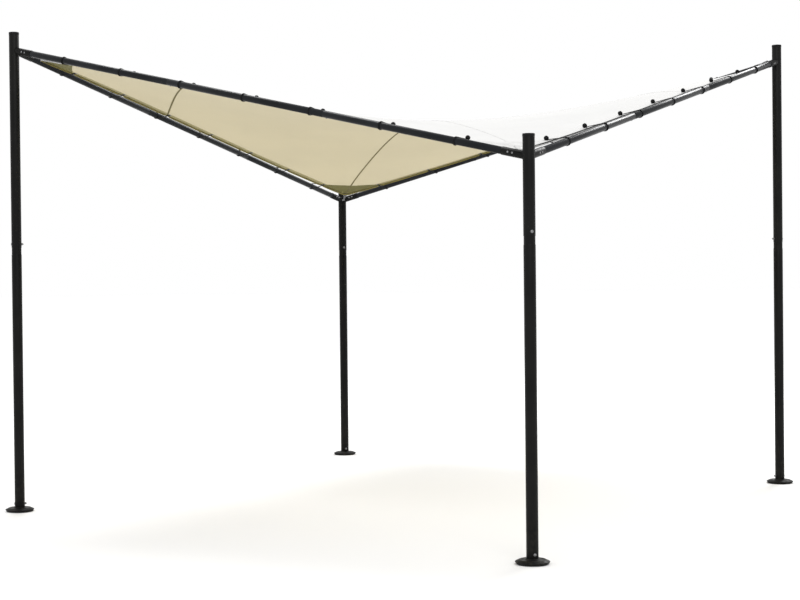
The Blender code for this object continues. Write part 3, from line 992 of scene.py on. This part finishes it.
def add_cloth(sizes):
    """Two faces of cloth on one flat UV map, with the underside's finish below."""
    half = sizes.cloth_edge

    def flat_point(s, t):
        a, b = 2 * s - 1, 2 * t - 1
        pull_x = 1 - (1 - edge_at(sizes, b * half) / half) * abs(a) ** 8
        pull_y = 1 - (1 - edge_at(sizes, a * half) / half) * abs(b) ** 8
        return Vector((a * half * pull_x, b * half * pull_y, 0))

    bm = mapped_grid(CLOTH_CELLS, CLOTH_CELLS, flat_point, (2 * half, 2 * half))
    layer = bm.loops.layers.uv.active
    for face in bm.faces:
        for loop in face.loops:
            loop[layer].uv -= Vector((half, half))
    for sign_x, sign_y in CORNERS.values():
        out = Vector((sign_x, sign_y, 0))
        bmesh.ops.bisect_plane(bm, geom=[*bm.verts, *bm.edges, *bm.faces], dist=1e-6, plane_no=out,
                               plane_co=out * (sizes.half_side - sizes.corner_inset), clear_outer=True)
    for vert in bm.verts:
        vert.co = cloth_point(sizes, vert.co.x, vert.co.y) - UP * sizes.cloth_thickness / 2
    if sum(face.normal.z for face in bm.faces) < 0:
        bmesh.ops.reverse_faces(bm, faces=bm.faces)
    raised = bmesh.ops.extrude_face_region(bm, geom=bm.faces[:], use_keep_orig=True)["geom"]
    top_verts = [item for item in raised if isinstance(item, bmesh.types.BMVert)]
    bmesh.ops.translate(bm, verts=top_verts, vec=UP * sizes.cloth_thickness)
    for item in raised:
        if isinstance(item, bmesh.types.BMFace):
            item.material_index = 1
    bm.normal_update()
    # The underside's finish is painted daylight through the cloth, with painted shade on the doubled hem and
    # seams.
    canopy = make_piece("canopy_cloth", bm, "cloth_under", ["canopy"], "cloth_top")
    punch(sizes, canopy)
    return canopy


def punch(sizes, canopy):
    """Cuts the eyelet holes and applies the cut."""
    holes = bmesh.new()
    radius = sizes.eyelet_radius + 0.001
    turn = Matrix.Rotation(math.pi / 2, 4, "X")
    for seat in eyelet_seats(sizes):
        bmesh.ops.create_cone(holes, cap_ends=True, segments=24, radius1=radius, radius2=radius,
                              depth=HOLE_DEPTH, matrix=seat @ turn)
    cutter = add_object("holes", as_mesh("holes", holes))
    cut = canopy.modifiers.new("Eyelets", "BOOLEAN")
    cut.operation = "DIFFERENCE"
    cut.object = cutter
    bpy.context.view_layer.update()
    evaluated = canopy.evaluated_get(bpy.context.evaluated_depsgraph_get())
    punched = bpy.data.meshes.new_from_object(evaluated)
    canopy.modifiers.clear()
    canopy.data = punched
    bpy.data.objects.remove(cutter)


def laid(sizes, line, lift=0.0):
    """A level line laid on the cloth, and the cloth's way up at each of its points."""
    ups = [cloth_up(sizes, x, y) for x, y in line]
    return [cloth_point(sizes, x, y) + up * lift for (x, y), up in zip(line, ups)], ups


def add_seams(sizes, face_name):
    """Three felled seams parallel to the line from the front corner to the back one."""
    lift = FACES[face_name] * (sizes.cloth_thickness / 2 + SEAM_LIFT)
    section = strip_section(sizes.seam_width, SEAM_THICKNESS)
    reach, middle = sizes.cloth_edge - sizes.edge_cord, cut_line(sizes) / 2
    seams = []
    for offset in (-sizes.seam_offset, 0.0, sizes.seam_offset):
        total = offset * math.sqrt(2)
        first, last = (max(total - reach, -reach), min(total + reach, reach)) if offset else (-middle, middle)
        path, ups = laid(sizes, [(x, total - x) for x in spread(first, last, 150)], lift)
        seams.append(sweep(path, section, ups))
    # From below the seams are painted in the darker shade of doubled cloth; from above in the cloth's top
    # colour.
    finish = "seam_tape" if face_name == "under" else "top_tape"
    return make_piece(f"seams_{face_name}", merged(seams), finish)


def side_point(out, reach, run):
    """A level point that lies reach out of the middle and run along a side."""
    return (out[0] * reach - out[1] * run, out[1] * reach + out[0] * run)


def outline(sizes, inset, steps=220):
    """The cloth's edge as one closed line, corner cuts included."""
    cut = cut_line(sizes) - sizes.cloth_edge
    line = []
    for out in ((1, 0), (0, 1), (-1, 0), (0, -1)):
        line += [side_point(out, edge_at(sizes, run) - inset, run) for run in spread(-cut, cut, steps)]
        start, end = line[-1], side_point(out, cut, edge_at(sizes, cut) - inset)
        for share in spread(0, 1, 14)[1:-1]:
            line.append((start[0] + (end[0] - start[0]) * share, start[1] + (end[1] - start[1]) * share))
    return line


def add_edge(sizes):
    """The hem with a cord sewn into it."""
    path, ups = laid(sizes, outline(sizes, sizes.edge_cord * 0.8))
    shape = sweep(path, oval_section(sizes.edge_cord, HEM_CORD_HEIGHT / 2), ups, closed=True)
    return make_piece("corded_edge", shape, "edge_tape")


def add_flap(sizes):
    """The hem's free edge: it hangs below the cord, and is drawn up where a bungee passes under it."""
    line = outline(sizes, sizes.edge_cord * 1.4, 420)
    path = [cloth_point(sizes, x, y) - UP * 0.0005 for x, y in line]
    gap = bungee_gap(sizes)
    shares = []
    for x, y in line:
        along = y if abs(x) > abs(y) else x
        number = round(along / gap)
        away = abs(along - number * gap) if abs(number) <= len(BUNGEES) // 2 else gap
        shares.append(1.0 - FLAP_DRAWN_UP * math.exp(-((away / FLAP_DRAWN_WIDTH) ** 2)))
    width, height = FLAP_THICKNESS / 2, sizes.flap_height
    section = [(width, 0), (-width, 0), (-width, -height * 0.5), (-width, -height * 0.94), (0, -height),
               (width, -height * 0.94), (width, -height * 0.5)]
    shape = sweep(path, section, UP, closed=True, shares=shares)
    bmesh.ops.recalc_face_normals(shape, faces=shape.faces)
    # Faces that look out take the cloth's top finish. Faces that look in take the hem's colour, the painted
    # shade of doubled cloth seen from below.
    for face in shape.faces:
        face.material_index = 1 if face.normal.dot(side_out(face.calc_center_median())) > 0 else 0
    return make_piece("hem_flap", shape, "hem_tape", (), "top_tape")


def add_patch(sizes, corner, face_name):
    """A reinforcement sewn into the cut corner."""
    sign_x, sign_y = CORNERS[corner]
    depth = sizes.patch_high if corner in HIGH_CORNERS else sizes.patch_low
    first = cut_line(sizes)
    last = first - depth * math.sqrt(2)
    half = sizes.cloth_edge - PATCH_INSET
    lift = FACES[face_name] * (sizes.cloth_thickness / 2 + PATCH_LIFT)

    def position(s, t):
        bow = PATCH_BOW * math.sin(math.pi * t) * s
        total = first + (last - first) * s + bow
        x = (total - half) + (2 * half - total) * t
        x, y = sign_x * x, sign_y * (total - x)
        return cloth_point(sizes, x, y) + cloth_up(sizes, x, y) * lift

    shape = mapped_grid(16, 24, position, (depth, 2 * depth))
    bmesh.ops.recalc_face_normals(shape, faces=shape.faces)
    bmesh.ops.solidify(shape, geom=shape.faces[:], thickness=PATCH_THICKNESS)
    # From below the patch is painted in the darker shade of doubled cloth; from above in the cloth's top
    # colour.
    finish = "patch_cloth" if face_name == "under" else "top_tape"
    return make_piece(f"corner_patch_{corner}_{face_name}", shape, finish)


def add_eyelets(sizes):
    """Rolled metal eyelets: a flared collar on top and a washer below."""
    hole, rim = sizes.eyelet_radius, sizes.eyelet_radius + EYELET_COLLAR
    profile = [(hole, -0.0016), (rim, -0.0013), (rim + 0.0004, -0.0007), (rim + 0.0004, 0.0006)]
    profile += [(rim, 0.0013), (rim - 0.002, 0.0021), (hole + 0.002, 0.0024), (hole + 0.0006, 0.0020)]
    profile.append((hole, 0.0010))
    turn = Matrix.Rotation(-math.pi / 2, 4, "X")
    collars = [moved(turned(profile, 28, closed=True), seat @ turn) for seat in eyelet_seats(sizes)]
    return make_piece("eyelets", merged(collars), "zinc_steel")


class PAVILION_OT_canopy(bpy.types.Operator):
    """The stretched cloth with its eyelet holes, seams, corded edge and corner patches"""

    bl_idname = "pavilion.canopy"
    bl_label = "Canopy"

    def execute(self, context):
        sizes = context.scene.pavilion_sizes
        canopy = add_cloth(sizes)
        trims = [add_seams(sizes, "under"), add_seams(sizes, "top"), add_edge(sizes), add_flap(sizes)]
        trims += [add_patch(sizes, corner, face_name) for corner in CORNERS for face_name in FACES]
        trims.append(add_eyelets(sizes))
        side = 2 * sizes.cloth_edge
        lost = 4 * (side - cut_line(sizes)) ** 2 / 2
        return {"FINISHED"}


# Bungees and corner ties

LOOP_END = 0.0045
BALL_SEAM = 0.0002
EYE_DISTANCE = 0.054
EYE_RADIUS = 0.0095
LOCK_NUT_DISTANCE = 0.0345
RING_RADIUS = 0.0140
HOOK_RADIUS = 0.0095
HOOK_OVERLAP = 0.0062
WIRE = 0.0030
SHANK_BURIED = 0.006
WEBBING_WIDTH = 0.024
WEBBING_THICKNESS = 0.0016


def straight(start, end, steps=10):
    """Points between two points, without the ends."""
    return [start.lerp(end, i / steps) for i in range(1, steps)]


def bungee_loop(sizes):
    """Two cords side by side in a belt round the rail and through the eyelet."""
    big = sizes.rail_radius + sizes.cord_radius + 0.0002
    end_x = sizes.eyelet_inset - LOOP_END
    lean = math.acos((big - LOOP_END) / end_x)
    x_axis, y_axis = Vector((1, 0, 0)), Vector((0, 1, 0))
    near = arc(Vector((0, 0, 0)), x_axis, y_axis, big, lean, math.tau - lean, 30)
    far = arc(Vector((end_x, 0, 0)), x_axis, y_axis, LOOP_END, -lean, lean, 12)
    belt = near + straight(near[-1], far[0]) + far + straight(far[-1], near[0])
    cords = []
    for side in (-1, 1):
        path = [point + UP * (side * (sizes.cord_radius + 0.0001)) for point in belt]
        cords.append(sweep(path, round_section(sizes.cord_radius), UP, closed=True))
    return merged(cords)


def bungee_ball(sizes):
    """A moulded ball with a parting line, a dimple on top and a short neck below."""
    radius = sizes.ball_radius
    profile = [(0, 0.72 * radius), (0.18 * radius, 0.74 * radius), (0.24 * radius, 0.93 * radius)]
    for turn in spread(math.radians(72), math.radians(-66), 26):
        swollen = radius + (BALL_SEAM if abs(turn) < math.radians(3) else 0.0)
        profile.append((swollen * math.cos(turn), swollen * math.sin(turn)))
    profile += [(0.36 * radius, -1.02 * radius), (0.30 * radius, -1.06 * radius), (0, -1.06 * radius)]
    return moved(turned(profile, 40), Matrix.Rotation(-math.pi / 2, 4, "X"))


class PAVILION_OT_bungees(bpy.types.Operator):
    """Elastic loops that run round the rail and through an eyelet, each with a ball on top of the cloth"""

    bl_idname = "pavilion.bungees"
    bl_label = "Bungees"

    def execute(self, context):
        sizes = context.scene.pavilion_sizes
        ball_seat = Matrix.Translation((sizes.eyelet_inset, sizes.ball_radius - 0.0005, 0))
        for name, place in bungee_places(sizes).items():
            loop = moved(bungee_loop(sizes), place)
            cord = make_piece(f"bungee_cord_{name}", loop, "elastic", [f"bungee_{name}"])
            shape = moved(bungee_ball(sizes), place @ ball_seat)
            ball = make_piece(f"bungee_ball_{name}", shape, "ball_plastic")
            ball.parent = cord
        return {"FINISHED"}


def eye_bolt(sizes, joint, level, side):
    """A shank screwed into the post, with a lock nut and a round eye."""
    start, end = sizes.post_radius - SHANK_BURIED, EYE_DISTANCE - EYE_RADIUS
    shank = turned([(0, start), (SHANK_RADIUS, start), (SHANK_RADIUS, end), (0, end)], 28)
    place = placed(joint, side, level)
    loop = arc(joint + level * EYE_DISTANCE, level, side, EYE_RADIUS, 0, math.tau, 40)[:-1]
    ring = sweep(loop, round_section(WIRE, 12), UP, closed=True)
    nut_place = place @ Matrix.Translation((0, 0, LOCK_NUT_DISTANCE))
    return [moved(shank, place), moved(nut(NUT_WIDTH), nut_place), ring]


def snap_hook(near, far, along, upward):
    """A long wire hook with a sprung gate along its upper side."""
    first, last = near + along * HOOK_RADIUS, far - along * HOOK_RADIUS
    sideways = along.cross(upward).normalized()
    loop = arc(first, along, upward, HOOK_RADIUS, math.radians(90), math.radians(270), 16)
    loop += arc(last, along, upward, HOOK_RADIUS, math.radians(-90), math.radians(90), 16)
    body = sweep(loop, round_section(WIRE * 0.92, 12), sideways, closed=True)
    start, end = (first.lerp(last, share) + upward * HOOK_RADIUS for share in (0.18, 0.80))
    run = (end - start).length
    profile = [(0, 0), (0.0030, 0), (0.0038, 0.0008), (0.0038, run - 0.0008), (0.0030, run), (0, run)]
    gate = turned(profile, 20)
    pin = turned([(0, -0.0046), (0.0013, -0.0046), (0.0013, 0.0046), (0, 0.0046)], 12)
    pin_place = placed(start + along * 0.004, along, sideways)
    return [body, moved(gate, placed(start, sideways, along)), moved(pin, pin_place)]


def corner_ring(centre, along, side):
    """A D-shaped ring whose straight bar lies at the cloth."""
    bend = arc(centre, along, side, RING_RADIUS, math.radians(48), math.radians(312), 36)
    loop = bend + straight(bend[-1], bend[0], 8)
    return sweep(loop, round_section(WIRE * 0.95, 12), along.cross(side), closed=True)


def webbing(tip, along, side, upward):
    """A folded tab round the ring's bar and along the patch below. Faces that look up above the bar take the
    cloth's white top finish; the rest are painted dark, the painted shade of the tab seen from below.
    """
    bar = tip - along * 0.0082
    top_run, run, turn_radius = 0.014, 0.072, 0.0044
    above = [bar + along * (top_run * (1 - i / 4)) + upward * (0.0012 + 0.0032 * (i / 4)) for i in range(4)]
    bend = arc(bar, upward, -along, turn_radius, 0, math.pi, 12)
    below = [bar + along * (run * i / 8) - upward * (0.0022 + 0.0022 * (1 - i / 8) ** 2) for i in range(1, 9)]
    path = above + bend + below
    spans = zip(path[:1] + path, path[1:] + path[-1:])
    ups = [(after - before).normalized().cross(side) for before, after in spans]
    tab = sweep(path, strip_section(WEBBING_WIDTH, WEBBING_THICKNESS), ups)
    bmesh.ops.recalc_face_normals(tab, faces=tab.faces)
    for face in tab.faces:
        is_upper = face.normal.dot(upward) > 0.2 and face.calc_center_median().z > bar.z
        face.material_index = 1 if is_upper else 0
    return tab


class PAVILION_OT_corner_ties(bpy.types.Operator):
    """Eye bolt, snap hook, ring and webbing that hold each cloth corner to its post"""

    bl_idname = "pavilion.corner_ties"
    bl_label = "Corner ties"

    def execute(self, context):
        sizes = context.scene.pavilion_sizes
        reach = sizes.half_side - sizes.corner_inset
        for corner, (sign_x, sign_y) in CORNERS.items():
            joint, level = joint_point(sizes, corner), inward(corner)
            tip = cloth_point(sizes, sign_x * reach, sign_y * reach)
            eye = joint + level * EYE_DISTANCE
            along = (tip - eye).normalized()
            side = UP.cross(along).normalized()
            upward = along.cross(side)
            ring_centre = tip - along * (RING_RADIUS + WIRE + 0.0003)
            near = eye + along * (EYE_RADIUS - HOOK_OVERLAP)
            far = ring_centre - along * (RING_RADIUS - HOOK_OVERLAP)
            parts = eye_bolt(sizes, joint, level, side) + snap_hook(near, far, along, upward)
            fitting = merged([*parts, corner_ring(ring_centre, along, side)])
            tab = webbing(tip, along, side, upward)
            ties = [f"corner_tie_{corner}"]
            make_piece(f"corner_fitting_{corner}", fitting, "zinc_steel", ties)
            make_piece(f"corner_webbing_{corner}", tab, "webbing", (), "top_tape")
        return {"FINISHED"}


# Stage

# Each lamp: where it hangs, its power and its size
LAMPS = {
    "key": ((6.0, -7.0, 8.0), 320.0, 5.0),
    "top": ((-4.5, 1.5, 11.0), 420.0, 3.0),
    "rear": ((1.0, 10.5, 9.0), 600.0, 4.0),
}
LAMP_TARGET = Vector((0, 0, 1.2))
FLOOR_RADIUS = 90.0
EYE = (5.5202, -8.8656, 1.4433)
YAW, PITCH, ROLL = (math.radians(angle) for angle in (124.103, -0.626, -0.602))
FOCAL_PIXELS = 1643.4
IMAGE_WIDTH = 800.0
LENS_SHIFT = (0.0602, -0.0149)
SENSOR_WIDTH = 36.0


def add_floor():
    bm = bmesh.new()
    bmesh.ops.create_circle(bm, cap_ends=True, segments=128, radius=FLOOR_RADIUS)
    mesh = as_mesh("floor", bm)
    mesh.materials.append(material("studio_floor"))
    floor = add_object("floor", mesh)


def add_lights():
    world = bpy.data.worlds.new("studio")
    bpy.context.scene.world = world
    world.use_nodes = True
    backdrop = world.node_tree.nodes["Background"].inputs
    backdrop["Color"].default_value = (1.0, 1.0, 1.0, 1.0)
    backdrop["Strength"].default_value = 1.0
    for name, (place, power, size) in LAMPS.items():
        lamp = bpy.data.lights.new(name, "AREA")
        lamp.energy = power
        lamp.shape = "DISK"
        lamp.size = size
        light = add_object(name, lamp)
        light.location = place
        light.rotation_euler = (LAMP_TARGET - Vector(place)).to_track_quat("-Z", "Y").to_euler()


def add_camera():
    """The camera at the photograph's angle. Unturned, it looks straight down with its top towards +Y."""
    data = bpy.data.cameras.new("camera")
    data.sensor_width = SENSOR_WIDTH
    data.sensor_fit = "HORIZONTAL"
    data.lens = FOCAL_PIXELS / IMAGE_WIDTH * SENSOR_WIDTH
    data.shift_x, data.shift_y = LENS_SHIFT
    data.clip_end = 300.0
    turn = Matrix.Rotation(YAW - math.pi / 2, 4, "Z") @ Matrix.Rotation(PITCH + math.pi / 2, 4, "X")
    camera = add_object("camera", data)
    camera.matrix_world = Matrix.Translation(EYE) @ turn @ Matrix.Rotation(ROLL, 4, "Z")
    bpy.context.scene.camera = camera


class PAVILION_OT_stage(bpy.types.Operator):
    """A pale studio floor, soft light and the camera at the photograph's angle"""

    bl_idname = "pavilion.stage"
    bl_label = "Stage"

    def execute(self, context):
        context.scene.view_settings.view_transform = "Standard"
        add_floor()
        add_lights()
        add_camera()
        return {"FINISHED"}


OPERATORS = (
    PAVILION_OT_feet, PAVILION_OT_posts, PAVILION_OT_rails, PAVILION_OT_bolts, PAVILION_OT_canopy,
    PAVILION_OT_bungees, PAVILION_OT_corner_ties, PAVILION_OT_stage,
)


class PAVILION_PT_panel(bpy.types.Panel):
    """Lists the steps that dress the pavilion"""

    bl_idname = "PAVILION_PT_panel"
    bl_label = "Garden pavilion"
    bl_space_type = "VIEW_3D"
    bl_region_type = "UI"
    bl_category = "Pavilion"

    def draw(self, context):
        for operator in OPERATORS:
            self.layout.operator(operator.bl_idname)
        for group in (context.scene.pavilion_sizes, context.scene.pavilion_colours):
            box = self.layout.box()
            for name in group.__annotations__:
                box.prop(group, name)


CLASSES = (PavilionSizes, PavilionColours, *OPERATORS, PAVILION_PT_panel)


def register():
    for cls in CLASSES:
        bpy.utils.register_class(cls)
    bpy.types.Scene.pavilion_sizes = PointerProperty(type=PavilionSizes)
    bpy.types.Scene.pavilion_colours = PointerProperty(type=PavilionColours)


def unregister():
    del bpy.types.Scene.pavilion_colours
    del bpy.types.Scene.pavilion_sizes
    for cls in reversed(CLASSES):
        bpy.utils.unregister_class(cls)


def main():
    register()
    bpy.ops.pavilion.feet()
    bpy.ops.pavilion.posts()
    bpy.ops.pavilion.rails()
    bpy.ops.pavilion.bolts()
    bpy.ops.pavilion.canopy()
    bpy.ops.pavilion.bungees()
    bpy.ops.pavilion.corner_ties()
    bpy.ops.pavilion.stage()


if __name__ == "__main__":
    main()
